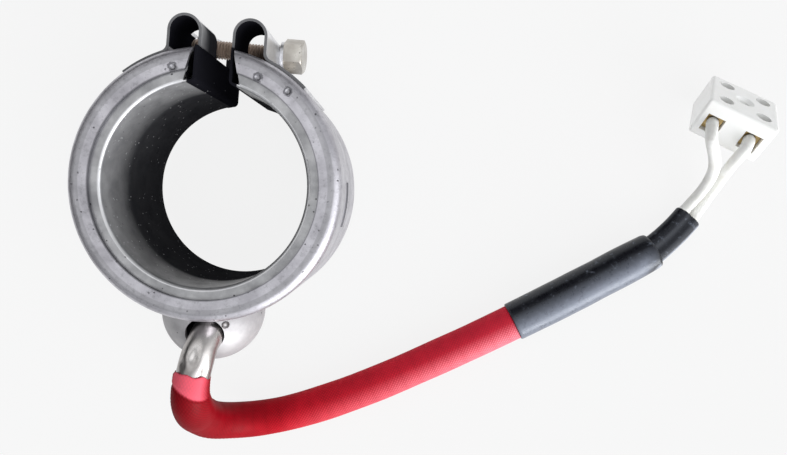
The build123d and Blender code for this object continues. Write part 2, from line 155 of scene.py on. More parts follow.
# %% Lamps
def sun(name, towards_lamp, strength, width):
    """A sun lamp that shines from a direction, as wide as width in degrees."""
    lamp = bpy.data.lights.new(name, "SUN")
    lamp.energy = strength
    lamp.angle = math.radians(width)
    holder = bpy.data.objects.new(name, lamp)
    holder.rotation_euler = Vector(towards_lamp).to_track_quat("Z", "Y").to_euler()
    bpy.context.scene.collection.objects.link(holder)
    print(name, "strength", strength)


sun("key_light", (0.72, -0.66, 0.24), 2.4, 40)
sun("fill_light", (-0.45, 0.25, 0.85), 0.5, 60)

# %% [markdown]
# ## The ground
# The object lies on white paper, and the picture shows no horizon and hardly a shadow. A matte
# floor would turn grey under the object, so most of its tone is a glow of its own for what is
# seen straight or in the steel, and only the rest is matte paper.

# %% Floor
FLOOR_HALF = 3.0
FLOOR_GAP = 0.0001
FLOOR_GREY = (0.922, 0.922, 0.922, 1)
FLOOR_GLOW = 0.93

floor_height = solid_box[0][2] - FLOOR_GAP
bpy.ops.mesh.primitive_plane_add(size=2 * FLOOR_HALF, location=(0, 0, floor_height))
floor = bpy.context.object
floor.name = "floor"
paper = bpy.data.materials.new("paper")
paper.use_nodes = True
tree = paper.node_tree
tree.nodes.remove(tree.nodes["Principled BSDF"])
matte = node(tree, "BsdfDiffuse", {"Color": FLOOR_GREY})
glow = node(tree, "Emission", {"Color": FLOOR_GREY, "Strength": 1.0})
rays = node(tree, "LightPath").outputs
seen = rays["Is Camera Ray"]
for ray in ("Is Glossy Ray", "Is Transmission Ray"):
    seen = node(tree, "Math", {0: seen, 1: rays[ray]}, operation="MAXIMUM").outputs[0]
share = node(tree, "Math", {0: seen, 1: FLOOR_GLOW}, operation="MULTIPLY")
surface = node(
    tree, "MixShader", {0: share.outputs[0], 1: matte.outputs["BSDF"], 2: glow.outputs["Emission"]}
)
tree.links.new(surface.outputs["Shader"], tree.nodes["Material Output"].inputs["Surface"])
floor.data.materials.append(paper)
print("floor at z, in mm:", round(floor_height / MM, 2))

# %% [markdown]
# ## Working with shader nodes
# A finish is a small network of nodes. Most helpers add one or a few and give back an output,
# so that a finish further down reads as a list of what lies on what. The patterns are noises on
# Object coordinates, which stay with the piece and are in metres, so each has its real size.

# %% Shader helpers
def material(name):
    """A new material, its node tree and its shader."""
    made = bpy.data.materials.new(name)
    made.use_nodes = True
    return made, made.node_tree, made.node_tree.nodes["Principled BSDF"]


def mix(tree, share, first, second):
    """A colour between two, by a share from 0 to 1."""
    made = node(tree, "Mix", {0: share, 6: first, 7: second}, data_type="RGBA")
    return made.outputs[2]


def calc(tree, operation, first, second=0.0, third=0.0):
    """A number worked out from up to three others."""
    return node(tree, "Math", {0: first, 1: second, 2: third}, operation=operation).outputs[0]


def times(tree, first, second):
    """The product of two numbers."""
    return calc(tree, "MULTIPLY", first, second)


def stain(tree, tone, share, strength, colour):
    """A tone with a colour laid over a share of it, at a strength from 0 to 1."""
    return mix(tree, times(tree, share, strength), tone, colour)


def stand_out(tree, shader, height, strength, depth):
    """Let a height stand out of the surface, in its shading alone."""
    bump = node(tree, "Bump", {"Height": height, "Strength": strength, "Distance": depth})
    tree.links.new(bump.outputs["Normal"], shader.inputs["Normal"])


def spread(tree, value, low, high, to_low=0.0, to_high=1.0):
    """A value taken from one range to another, and kept inside it."""
    made = node(
        tree,
        "MapRange",
        {"Value": value, "From Min": low, "From Max": high, "To Min": to_low, "To Max": to_high},
    )
    return made.outputs["Result"]


def between(tree, value, low, high, edge):
    """1 inside a range of values, falling to 0 over the width of its edge, in metres."""
    rise = spread(tree, value, low - edge, low)
    fall = spread(tree, value, high + edge, high)
    return times(tree, rise, fall)


# %% Places on a piece
def place_on(tree):
    """The place of each point of a piece, in metres."""
    return node(tree, "TexCoord").outputs["Object"]


def axes_of(tree, place):
    """The three coordinates of a place."""
    parted = node(tree, "SeparateXYZ", {"Vector": place})
    return parted.outputs["X"], parted.outputs["Y"], parted.outputs["Z"]


def radius_of(tree, place):
    """How far a place is from the bore's axis."""
    across, up = axes_of(tree, place)[:2]
    return calc(tree, "SQRT", calc(tree, "MULTIPLY_ADD", across, across, times(tree, up, up)))


# %% Patterns
SPECK_UNEVEN = 0.35


def clouds(tree, place, size, detail=3.0, rough=0.55):
    """A noise from 0 to 1 whose patches are about as wide as size, in metres."""
    made = node(
        tree, "TexNoise", {"Vector": place, "Scale": 1 / size, "Detail": detail, "Roughness": rough}
    )
    return made.outputs["Fac"]


def specks(tree, place, spacing, radius, share):
    """Small uneven marks, 1 inside and 0 outside, in a share of the cells of a grid."""
    cells = node(tree, "TexVoronoi", {"Vector": place, "Scale": 1 / spacing})
    uneven = clouds(tree, place, 0.25 * spacing, 2.0)
    away = calc(tree, "MULTIPLY_ADD", uneven, SPECK_UNEVEN, cells.outputs["Distance"])
    reach = 0.5 * SPECK_UNEVEN + radius / spacing
    near = spread(tree, away, reach, reach - 0.5 * radius / spacing)
    chance = node(tree, "SeparateColor", {"Color": cells.outputs["Color"]}).outputs["Red"]
    chosen = calc(tree, "LESS_THAN", chance, share)
    return times(tree, near, chosen)


# %% [markdown]
# ## Steel
# Rolled and pressed sheet is never one even grey. It has a cloudy tone where it was handled
# and heated, a fine grain from the rolls, and small pits and specks. A picture of such steel
# could be wrapped round it, but it would stretch and repeat, and noises don't. The same ones
# drive colour, roughness and bump, because on the real sheet they are the same marks.

# %% Steel finish
CLOUD_SIZE = 6 * MM
GRAIN_SIZE = 0.4 * MM
WAVE_SIZE = 4 * MM
PIT_SPACING = 1.6 * MM
PIT_RADIUS = 0.3 * MM
PIT_SHADE = 0.35
RELIEF_DEPTH = 0.1 * MM
RELIEF_STRENGTH = 0.25


def steel(name, light, dark, roughness, pits=0.25, metal=1.0, marks=None):
    """Sheet steel between two tones, with clouds, grain and pits. marks(tree, place, tone) can add
    what belongs to one piece only, and returns the tone and a share that is not metal: painted
    shade on the sheath and lugs, and tarnish on the screw."""
    made, tree, shader = material(name)
    place = place_on(tree)
    cloud = clouds(tree, place, CLOUD_SIZE, 4.0, 0.6)
    grain = clouds(tree, place, GRAIN_SIZE, 2.0)
    tone = mix(tree, spread(tree, cloud, 0.35, 0.65), (*light, 1), (*dark, 1))
    tone = mix(tree, spread(tree, grain, 0.3, 0.7, 0.0, 0.16), tone, (*dark, 1))
    pit = specks(tree, place, PIT_SPACING, PIT_RADIUS, pits)
    tone = mix(tree, pit, tone, tuple(PIT_SHADE * part for part in dark) + (1,))
    shade_and_tarnish = None
    if marks:
        tone, shade_and_tarnish = marks(tree, place, tone)
    tree.links.new(tone, shader.inputs["Base Color"])
    gloss = spread(tree, cloud, 0.3, 0.7, roughness - 0.06, roughness + 0.08)
    tree.links.new(gloss, shader.inputs["Roughness"])
    shader.inputs["Metallic"].default_value = metal
    if shade_and_tarnish:
        # Painted shade and the screw's tarnish are no metal and hardly shine, also where seen at a low
        # angle
        tree.links.new(spread(tree, shade_and_tarnish, 0, 0.5, metal, 0.0), shader.inputs["Metallic"])
        shine = spread(tree, shade_and_tarnish, 0.0, 0.9, 0.5, 0.0)
        tree.links.new(shine, shader.inputs["Specular IOR Level"])
    relief = calc(tree, "MULTIPLY_ADD", pit, -1.5, grain)
    relief = calc(tree, "MULTIPLY_ADD", clouds(tree, place, WAVE_SIZE, 1.0), 3.0, relief)
    stand_out(tree, shader, relief, RELIEF_STRENGTH, RELIEF_DEPTH)
    return made


# %% [markdown]
# ## Painted shade and marks on the sheets
# The bore's wall is painted dark as shade, darker further in, and the lips at the split and the
# insides of the loops are painted black as shade. The flange's shoulder ring, its lap, the bead's
# creases and the lugs' rims get painted shade, and the bore's rolled edge a painted highlight.
# Pressing left tacks and a bead on the casing. They could be painted by hand on an unwrapped sheet.
# But each has a place that is known from the part's sizes, so each is a mask worked out from the
# coordinates, and a noise only makes its edge ragged where the real one is.

# %% Marks on the casing
CASING_END = 20 * MM
FLANGE_RING = (30.3 * MM, 31.6 * MM)
FLANGE_LAP = 28.0 * MM
TACK_PLACES = [(-9.22, 27.39), (11.25, 26.62), (18.72, 23.96)]
TACK_EDGE = 1.6 * MM
TACK_RAGGED = 1.8 * MM
BEAD_SIDE = 30 * MM
BEAD_SPAN = (-7.5 * MM, 4 * MM)
BEAD_CRESTS = [(3.3 * MM, 3.9 * MM), (6.1 * MM, 6.6 * MM)]
SHOULDER_SHADE_GREY = (0.26, 0.26, 0.27, 1)
LAP_SHADOW_GREY = (0.10, 0.10, 0.11, 1)
TACK_GREY = (0.24, 0.24, 0.25, 1)
TACK_RIM = (0.08, 0.08, 0.09, 1)
SMEAR_GREY = (0.18, 0.18, 0.19, 1)
CREASE_SHADE_GREY = (0.07, 0.07, 0.08, 1)


def tack_mark(tree, place, tone, across, up):
    """A pressed tack in the near flange: grey in the middle, with a dark and ragged rim."""
    centre = (across * MM, up * MM, CASING_END)
    away = node(tree, "VectorMath", {0: place, 1: centre}, operation="DISTANCE").outputs["Value"]
    ragged = clouds(tree, place, 0.7 * MM, 4.0)
    edge = calc(tree, "MULTIPLY_ADD", ragged, TACK_RAGGED, away)
    tone = stain(tree, tone, spread(tree, edge, TACK_EDGE, TACK_EDGE - 0.4 * MM), 0.5, TACK_GREY)
    rim = between(tree, edge, TACK_EDGE + 0.05 * MM, TACK_EDGE + 0.35 * MM, 0.25 * MM)
    return stain(tree, tone, rim, 0.75, TACK_RIM)


def casing_marks(tree, place, tone):
    """A painted shadow line at the flange's lap, painted shade on the shoulder ring, the tacks,
    smears and painted shade along the bead's creases.
    """
    radius = radius_of(tree, place)
    # Painted shade on the ring where the flange's shoulder slopes away
    tone = stain(tree, tone, between(tree, radius, *FLANGE_RING, 0.2 * MM), 0.45, SHOULDER_SHADE_GREY)
    # A painted shadow line where the flange's lap steps down to the sheath
    tone = stain(tree, tone, spread(tree, radius, FLANGE_LAP + 0.25 * MM, FLANGE_LAP), 0.7, LAP_SHADOW_GREY)
    for across, up in TACK_PLACES:
        tone = tack_mark(tree, place, tone, across, up)
    smear = clouds(tree, place, 1.2 * MM, 6.0, 0.75)
    tone = mix(tree, spread(tree, smear, 0.52, 0.68, 0.0, 0.45), tone, SMEAR_GREY)
    across, up, along = axes_of(tree, place)
    # Painted shade along the two creases of the pressed bead on the casing's side
    crests = [between(tree, along, *crest, 0.3 * MM) for crest in BEAD_CRESTS]
    bead = times(
        tree,
        between(tree, up, *BEAD_SPAN, 1 * MM),
        spread(tree, across, BEAD_SIDE, BEAD_SIDE + 1 * MM),
    )
    bead = times(tree, bead, calc(tree, "ADD", *crests))
    return stain(tree, tone, bead, 0.8, CREASE_SHADE_GREY), None


# %% Marks on the sheath
SHADE_BLACK = (0.009, 0.009, 0.012, 1)
DUST_GREY = (0.45, 0.45, 0.46, 1)
ROLL_HIGHLIGHT_GREY = (0.80, 0.80, 0.82, 1)
BORE_WALL = 25.1 * MM
BORE_ROLL = (25.35 * MM, 25.75 * MM)
BORE_SHADE_SPAN = (16 * MM, 3 * MM)
LIP_HALF = 6 * MM
LIP_FOOT = 23 * MM


def sheath_marks(tree, place, tone):
    """The bore's wall is painted dark as shade, less so near its end; the lips at the split are
    painted black as shade, with grey specks of dust; the rolled edge gets a painted highlight.
    """
    across, up, along = axes_of(tree, place)
    radius = radius_of(tree, place)
    # Painted shade on the bore's wall, darker further in, and painted black shade on the lips at the
    # split
    wall = spread(tree, radius, BORE_ROLL[0], BORE_WALL)
    wall = times(tree, wall, spread(tree, along, *BORE_SHADE_SPAN, 0.58, 0.93))
    lip = times(
        tree,
        spread(tree, up, LIP_FOOT, LIP_FOOT + 1 * MM),
        between(tree, across, -LIP_HALF, LIP_HALF, 0.4 * MM),
    )
    shade_and_tarnish = calc(tree, "MAXIMUM", wall, lip)
    dust = specks(tree, place, 1.3 * MM, 0.22 * MM, 0.4)
    black = stain(tree, SHADE_BLACK, dust, 0.8, DUST_GREY)
    # A painted highlight along the bore's rolled edge
    tone = stain(tree, tone, between(tree, radius, *BORE_ROLL, 0.15 * MM), 0.7, ROLL_HIGHLIGHT_GREY)
    return mix(tree, shade_and_tarnish, tone, black), shade_and_tarnish


# %% Marks on the lugs
LOOP_ACROSS = 8.0 * MM
LOOP_UP = 36.9 * MM
LOOP_RADIUS = 3.5 * MM
LUG_INNER_WALL = 4.6 * MM
LUG_END = 17.45 * MM


def lug_marks(tree, place, tone):
    """The inside of each loop is painted black as shade, its wall beside the split gets painted
    shade that darkens downwards, and its near and far rims a painted shadow line.
    """
    across, up, along = axes_of(tree, place)
    aside = calc(tree, "ABSOLUTE", across)
    sideways = calc(tree, "SUBTRACT", aside, LOOP_ACROSS)
    above = calc(tree, "MAXIMUM", calc(tree, "SUBTRACT", up, LOOP_UP), 0.0)
    reach = calc(tree, "MULTIPLY_ADD", sideways, sideways, times(tree, above, above))
    reach = calc(tree, "SQRT", reach)
    # Painted black shade inside each loop, and painted shade on its wall beside the split
    inside = spread(tree, reach, LOOP_RADIUS + 0.10 * MM, LOOP_RADIUS + 0.04 * MM)
    beside = spread(tree, aside, LUG_INNER_WALL + 0.1 * MM, LUG_INNER_WALL)
    depth = spread(tree, along, LUG_END, 11 * MM, 0.75, 0.98)
    # A painted shadow line at the lugs' near and far rims
    far_out = calc(tree, "ABSOLUTE", along)
    rim = spread(tree, far_out, LUG_END - 0.03 * MM, LUG_END + 0.02 * MM, 0.0, 0.82)
    shade_and_tarnish = calc(tree, "MAXIMUM", inside, times(tree, beside, depth))
    shade_and_tarnish = calc(tree, "MAXIMUM", shade_and_tarnish, rim)
    return mix(tree, shade_and_tarnish, tone, SHADE_BLACK), shade_and_tarnish


# %% Marks on the screw
SHANK_END = 13.0 * MM
TARNISH = (0.34, 0.26, 0.21, 1)


def thread_marks(tree, place, tone):
    """The shank is brown and dull where it isn't under the bright head."""
    across = axes_of(tree, place)[0]
    shank = spread(tree, across, SHANK_END + 0.2 * MM, SHANK_END)
    return mix(tree, shank, tone, TARNISH), times(tree, shank, 0.35)


# %% [markdown]
# ## One finish, many steels
# Casing, sheath, lugs, dome, tube, weld and screws are all steel, but were rolled, plated or
# heated in their own way. A material made by hand for each would drift apart from the others.
# One function makes them all, from a light and a dark tone, a roughness and a share of pits.

# %% Steels
casing_steel = steel(
    "casing_steel", (0.585, 0.575, 0.615), (0.42, 0.41, 0.443), 0.40, pits=0.35, marks=casing_marks
)
sheath_steel = steel(
    "sheath_steel", (0.46, 0.46, 0.47), (0.30, 0.30, 0.31), 0.40, marks=sheath_marks
)
lug_steel = steel(
    "lug_steel", (0.86, 0.86, 0.88), (0.66, 0.66, 0.68), 0.34, pits=0.1, marks=lug_marks
)
dome_steel = steel("dome_steel", (0.50, 0.49, 0.50), (0.38, 0.37, 0.38), 0.62, pits=0.06, metal=0.7)
tube_steel = steel("tube_steel", (0.56, 0.54, 0.53), (0.30, 0.28, 0.27), 0.30, pits=0.12)
weld_steel = steel("weld_steel", (0.34, 0.32, 0.32), (0.16, 0.15, 0.15), 0.45)
post_steel = steel("plated_steel", (0.76, 0.74, 0.70), (0.55, 0.52, 0.48), 0.26, pits=0.1)
clamp_steel = steel(
    "clamp_steel", (0.62, 0.60, 0.56), (0.42, 0.39, 0.35), 0.30, pits=0.2, marks=thread_marks
)


# %% Dress the sheets
def dress(finish, *names):
    """Give CAD nodes a finish."""
    for name in names:
        for slot in nodes[name].material_slots:
            slot.material = finish
    print(finish.name, "on", ", ".join(names))


dress(casing_steel, "outer_casing")
dress(sheath_steel, "inner_sheath")
dress(lug_steel, "left_clamp_lug", "right_clamp_lug", "clamp_washer", "clamp_nut")

# %% [markdown]
# ## The lead's route
# A cord is first of all a line. A few points follow the lead in the picture, in millimetres,
# and each wire ends a little way inside its channel of the terminal block. A Bezier curve goes
# through its points and can swing out between them. A NURBS spline of order 3 never does: it
# runs smoothly a little inside their corners, as a stiff lead lies.

# %% Routes
SLEEVE_POINTS = [
    (-1.0, -48.2, 13.0),
    (-1.5, -53.3, 13.0),
    (-1.5, -59.0, 8.5),
    (-1.7, -62.5, 2.2),
    (-0.4, -66.3, -4.3),
    (4.2, -68.3, -10.9),
    (11.3, -68.3, -14.4),
    (21.0, -65.6, -14.75),
    (33.5, -60.4, -14.75),
    (47.8, -53.3, -14.75),
    (63.5, -44.4, -14.75),
    (75.0, -37.7, -14.6),
    (84.1, -32.0, -14.25),
]
SHRINK_POINTS = [
    (84.1, -32.0, -14.25),
    (92.29, -26.87, -13.935),
    (107.5, -17.2, -14.2),
    (122.6, -7.2, -14.25),
]
FLAT_SHRINK_POINTS = [(121.4, -8.6, -14.6), (128.2, -3.1, -15.9), (133.4, 3.8, -17.2)]
LEFT_WIRE_POINTS = [
    (130.6, 3.74, -16.9),
    (133.6, 7.7, -16.9),
    (135.3, 11.6, -14.2),
    (135.2, 15.0, -10.0),
    (133.9, 18.0, -5.4),
    (131.0, 20.9, -0.8),
    (128.1, 24.0, 2.4),
    (128.9, 27.7, 0.4),
]
RIGHT_WIRE_POINTS = [
    (133.4, 1.0, -16.9),
    (136.3, 5.4, -17.7),
    (138.4, 9.6, -17.2),
    (139.4, 13.6, -14.4),
    (138.9, 16.6, -9.6),
    (137.6, 19.0, -3.8),
    (136.4, 20.4, 1.2),
    (137.6, 23.0, 2.6),
]
LEFT_WIRE_END = (130.4, 29.73, -2.65)
RIGHT_WIRE_END = (139.78, 25.62, -0.84)
print("points on the sleeve's route:", len(SLEEVE_POINTS))

# %% Lines through the points
ROUTE_STEPS = 24
ROUTE_ORDER = 3


def line_of(points):
    """The line of a route, as points close together, in metres."""
    curve = bpy.data.curves.new("route", "CURVE")
    curve.dimensions = "3D"
    curve.resolution_u = ROUTE_STEPS
    spline = curve.splines.new("NURBS")
    spline.points.add(len(points) - 1)
    for place, point in zip(points, spline.points):
        point.co = (place[0] * MM, place[1] * MM, place[2] * MM, 1)
    spline.order_u = ROUTE_ORDER
    spline.use_endpoint_u = True
    holder = bpy.data.objects.new("route", curve)
    bpy.context.scene.collection.objects.link(holder)
    mesh = bpy.data.meshes.new_from_object(holder)
    line = np.array([vertex.co[:] for vertex in mesh.vertices])
    bpy.data.objects.remove(holder)
    bpy.data.curves.remove(curve)
    bpy.data.meshes.remove(mesh)
    return line


def distances(line):
    """How far along a line each of its points lies."""
    return np.concatenate([[0], np.cumsum(np.linalg.norm(np.diff(line, axis=0), axis=1))])


sleeve_line = line_of(SLEEVE_POINTS)
shrink_line = line_of(SHRINK_POINTS)
flat_line = line_of(FLAT_SHRINK_POINTS)
left_line = line_of(LEFT_WIRE_POINTS + [LEFT_WIRE_END])
right_line = line_of(RIGHT_WIRE_POINTS + [RIGHT_WIRE_END])
named_lines = {
    "sleeve": sleeve_line,
    "shrink tube": shrink_line,
    "flat tube": flat_line,
    "left wire": left_line,
    "right wire": right_line,
}
for name, line in named_lines.items():
    print(name, "length in mm:", round(distances(line)[-1] / MM, 1))

# %% [markdown]
# ## A tube along a line
# Every length of the lead is one loft: rings of points round the line, joined by quads. A
# bevelled curve would be quicker, but its section is the same all along, and a braid needs a
# height of its own at every point. What makes a sleeve different from a wire is only how far
# out each point stands, so that is a function, given the distance along and the turn round.

# %% The mesh of a tube
def choose(piece):
    """Select one piece alone, because an operator acts on all that is selected."""
    bpy.ops.object.select_all(action="DESELECT")
    bpy.context.view_layer.objects.active = piece
    piece.select_set(True)


def skin(name, rings):
    """A closed mesh over rings of points, with a lid in each mouth."""
    count, sides = rings.shape[:2]
    index = np.arange(count * sides).reshape(count, sides)
    after = np.roll(index, -1, axis=1)
    quads = np.stack([index[:-1], after[:-1], after[1:], index[1:]], axis=-1).reshape(-1, 4)
    faces = quads.tolist() + [index[0].tolist(), index[-1].tolist()[::-1]]
    mesh = bpy.data.meshes.new(name)
    mesh.from_pydata(rings.reshape(-1, 3).tolist(), [], faces)
    mesh.validate()
    made = bpy.data.objects.new(name, mesh)
    bpy.context.scene.collection.objects.link(made)
    choose(made)
    bpy.ops.object.mode_set(mode="EDIT")
    bpy.ops.mesh.select_all(action="SELECT")
    bpy.ops.mesh.normals_make_consistent(inside=False)
    bpy.ops.object.mode_set(mode="OBJECT")
    bpy.ops.object.shade_smooth()
    print(name, "faces:", len(mesh.polygons))
    return made


# %% Loft a tube
def read_at(places, far, values):
    """Vectors that are known at distances far along a line, read at other places along it."""
    return np.stack([np.interp(places, far, values[:, axis]) for axis in range(3)], axis=1)


def turns(sides):
    """The turn of each side of a tube, as an angle."""
    return np.linspace(0, 2 * math.pi, sides, endpoint=False)


def loft(name, line, stations, sides, shape):
    """A closed tube. stations are (distance along, inset) pairs, from inside one mouth to inside
    the other, and shape(along, turn) gives how far out the surface is, sideways, upwards and along."""
    far = distances(line)
    along, inset = np.array(stations).T
    middle = read_at(along, far, line)
    forward = read_at(along, far, np.gradient(line, far, axis=0))
    forward /= np.linalg.norm(forward, axis=1)[:, None]
    side = np.cross(forward, (0, 0, 1))
    side /= np.linalg.norm(side, axis=1)[:, None]
    up = np.cross(side, forward)
    wide, high, shift = shape(along[:, None], turns(sides)[None, :])
    shrunk = 1 - inset[:, None] / np.hypot(wide, high)
    rings = middle[:, None] + side[:, None] * (wide * shrunk)[..., None]
    rings = rings + up[:, None] * (high * shrunk)[..., None] + forward[:, None] * shift[..., None]
    return skin(name, rings)


def stations_of(length, step, wall, deep):
    """Rings from inside one mouth, over its rounded lip, along the tube and into the other mouth."""
    mouth = [(deep, wall), (0.35 * wall, wall), (0.0, 0.7 * wall), (0.0, 0.3 * wall)]
    body = [(place, 0.0) for place in np.arange(0.4 * wall, length - 0.4 * wall, step)]
    end = [(length - place, inset) for place, inset in reversed(mouth)]
    return mouth + body + end


# %% Values kept on a mesh
def note(made, name, values):
    """Keep a value for each point of a mesh, for its material to read."""
    made.data.attributes.new(name, "FLOAT", "POINT").data.foreach_set("value", values.ravel())


def lean(made, way):
    """How far each point of a mesh looks one way, from -1 to 1."""
    normals = np.array([vertex.normal[:] for vertex in made.data.vertices])
    return normals @ np.array(Vector(way).normalized())


def noted(tree, name):
    """A value that was kept for each point of a mesh."""
    return node(tree, "Attribute", attribute_name=name).outputs["Fac"]


# %% [markdown]
# ## The clamp screw
# The screw that closes the band has a hexagon head with its end turned off, and a tarnished
# thread that shows between the lugs. Its profile could be spun with the Screw modifier and a
# six-sided cylinder set on it. A loft makes both in one closed mesh: the shank's radius rises
# and falls with the thread as the turn goes round, and the head's is a hexagon's, cut by a cone.

# %% Screw sizes
SCREW_START = -18.05 * MM
HEAD_FACE = 13.30 * MM
HEAD_END = 18.30 * MM
SCREW_UP = 36.8 * MM
THREAD_RADIUS = 2.45 * MM
THREAD_DEPTH = 0.45 * MM
THREAD_PITCH = 0.8 * MM
TIP_CHAMFER = 0.7 * MM
HEAD_HALF_FLATS = 4.0 * MM
HEAD_TURNED = 3.9 * MM
CONE_SLOPE = 1.8


def screw_shape(along, turn):
    """Thread up to the head, then a hexagon with its end turned off."""
    place = SCREW_START + along
    wave = np.abs(2 * ((along / THREAD_PITCH - turn / (2 * math.pi)) % 1.0) - 1)
    shank = THREAD_RADIUS - THREAD_DEPTH * wave
    shank = np.minimum(shank, THREAD_RADIUS - TIP_CHAMFER + along)
    sixth = math.pi / 3
    flats = HEAD_HALF_FLATS / np.cos(turn % sixth - sixth / 2)
    cone = HEAD_TURNED + CONE_SLOPE * (HEAD_END - place)
    radius = np.where(place < HEAD_FACE, shank, np.minimum(flats, cone))
    return radius * np.cos(turn), radius * np.sin(turn), 0 * radius


# %% Screw
SCREW_SIDES = 48
SHANK_RINGS = 360
CONE_RINGS = 8
CONE_LENGTH = 0.6 * MM
HEAD_STEP = 0.01 * MM
SHARP_ON_SCREW = math.radians(28)

screw_line = np.array([(SCREW_START, SCREW_UP, 0.0), (HEAD_END, SCREW_UP, 0.0)])
shank_length = HEAD_FACE - SCREW_START
screw_length = HEAD_END - SCREW_START
shank_places = np.linspace(0, shank_length - HEAD_STEP, SHANK_RINGS)
cone_places = np.linspace(screw_length - CONE_LENGTH, screw_length, CONE_RINGS)
screw_stations = [(place, 0.0) for place in (*shank_places, shank_length, *cone_places)]
screw = loft("threaded_clamp_screw", screw_line, screw_stations, SCREW_SIDES, screw_shape)
bpy.ops.object.shade_smooth_by_angle(angle=SHARP_ON_SCREW)
screw.data.materials.append(clamp_steel)

# %% [markdown]
# ## The elbow
# A short steel tube guides the wires out of the dome. It was bent cold, so it is flattened at
# the bend and dented beside it. It could be a bent cylinder with its dents sculpted by hand. In
# a loft, each dent is a smooth hollow whose place, size and depth stay easy to change.

# %% Elbow
ELBOW_POINTS = [(1.3, -37.63, 8.94), (0.9, -39.6, 13.0), (-0.5, -45.6, 13.0), (-1.3, -51.2, 13.0)]
ELBOW_RADIUS = 4.3 * MM
ELBOW_SIDES = 64
BEND_PLACE = 4.6 * MM
BEND_LENGTH = 2.4 * MM
BEND_NARROWER = 0.05
BEND_FLATTER = 0.08
# Along, round, length, width as an angle, and depth of each dent
DENTS = [
    (7.4, 1.62, 1.9, 0.30, 0.85),
    (10.2, 2.45, 2.2, 0.25, 0.40),
    (9.8, 1.00, 1.3, 0.30, 0.30),
]


def elbow_shape(along, turn):
    """A little flattened at the bend, with its dents."""
    pinch = np.exp(-(((along - BEND_PLACE) / BEND_LENGTH) ** 2))
    wide = ELBOW_RADIUS * (1 - BEND_NARROWER * pinch) + 0 * turn
    high = ELBOW_RADIUS * (1 - BEND_FLATTER * pinch) + 0 * turn
    for far, round_it, length, width, depth in DENTS:
        beside = (along - far * MM) / (length * MM)
        apart = np.angle(np.exp(1j * (turn - round_it))) / width
        press = depth * MM * np.exp(-(beside**2) - apart**2)
        wide = wide - press
        high = high - press
    return wide * np.cos(turn), high * np.sin(turn), 0 * wide * turn


elbow_line = line_of(ELBOW_POINTS)
elbow_length = distances(elbow_line)[-1]
elbow_stations = stations_of(elbow_length, step=0.25 * MM, wall=0.6 * MM, deep=3 * MM)
elbow = loft("bent_elbow_tube", elbow_line, elbow_stations, ELBOW_SIDES, elbow_shape)
elbow.data.materials.append(tube_steel)

# %% [markdown]
# ## The dome
# The cap over the terminals is pressed round, cut to the casing and pierced for the elbow. A
# profile spun on an axis would give the round form, but not an edge that lies on a cylinder. So
# a ball is hollowed and cut by the casing's own cylinder and by a rod along the elbow, and the
# cap's edge and its hole follow what they meet.

# %% Balls, rods and cuts
SHARP_ON_CUTS = math.radians(35)


def rod(radius, depth, place, towards_end, sides=96):
    """A round rod about a place, along a direction."""
    turned = Vector(towards_end).to_track_quat("Z", "Y").to_euler()
    bpy.ops.mesh.primitive_cylinder_add(
        vertices=sides, radius=radius, depth=depth, location=place, rotation=turned
    )
    return bpy.context.object


def ball(radius, place, segments=96, rings=48):
    """A round ball about a place."""
    bpy.ops.mesh.primitive_uv_sphere_add(
        segments=segments, ring_count=rings, radius=radius, location=place
    )
    return bpy.context.object


def cut(piece, tool):
    """Take a tool's shape out of a piece, and the tool away."""
    choose(piece)
    change = piece.modifiers.new("cut", "BOOLEAN")
    change.object = tool
    change.solver = "EXACT"
    bpy.ops.object.modifier_apply(modifier="cut")
    bpy.data.objects.remove(tool)


def settle(piece, name, finish):
    """Give a finished piece its name, its place in its mesh, its shading and its finish."""
    choose(piece)
    bpy.ops.object.transform_apply(location=True, rotation=True, scale=True)
    bpy.ops.object.shade_smooth_by_angle(angle=SHARP_ON_CUTS)
    piece.name = name
    piece.data.materials.clear()
    piece.data.materials.append(finish)
    print(name, "faces:", len(piece.data.polygons))


# %% Dome
DOME_CENTRE = Vector((-0.54, -33.36, 0.0)) * MM
DOME_RADIUS = 13.64 * MM
DOME_WALL = 0.8 * MM
CASING_RADIUS = 33.52 * MM
CASING_SIDES = 256
HOLE_RADIUS = 4.85 * MM
HOLE_LENGTH = 2 * DOME_RADIUS
HOLE_SHIFT = Vector((-0.15, 0.95, 0.0)) * MM

elbow_rise = (Vector(ELBOW_POINTS[1]) - Vector(ELBOW_POINTS[0])).normalized()
elbow_foot = Vector(ELBOW_POINTS[0]) * MM
hole_middle = elbow_foot + HOLE_SHIFT + 0.5 * HOLE_LENGTH * elbow_rise
dome = ball(DOME_RADIUS, DOME_CENTRE)
cut(dome, ball(DOME_RADIUS - DOME_WALL, DOME_CENTRE))
cut(dome, rod(CASING_RADIUS, 2 * CASING_RADIUS, (0, 0, 0), (0, 0, 1), CASING_SIDES))
cut(dome, rod(HOLE_RADIUS, HOLE_LENGTH, hole_middle, elbow_rise))
settle(dome, "pressed_dome", dome_steel)

# %% [markdown]
# ## The tack weld
# A spot of weld sits beside the dome's edge, with a crater where the arc left it. It could be
# painted on, but it stands out far enough to throw a shadow. A ball sunk in the dome, with a
# second ball's bite out of its top, gives the rim and the crater in one cut.

# %% Tack weld
WELD_WAY = Vector((6.6, -1.7, 11.8)).normalized()
WELD_RADIUS = 1.15 * MM
WELD_SINK = 0.55 * MM
WELD_BITE = 0.1 * WELD_SINK
WELD_GRID = {"segments": 32, "rings": 20}

weld_up = DOME_RADIUS - WELD_SINK
crater_up = DOME_RADIUS + WELD_RADIUS - WELD_BITE
weld = ball(WELD_RADIUS, DOME_CENTRE + WELD_WAY * weld_up, **WELD_GRID)
cut(weld, ball(WELD_RADIUS, DOME_CENTRE + WELD_WAY * crater_up, **WELD_GRID))
settle(weld, "crater_tack_weld", weld_steel)

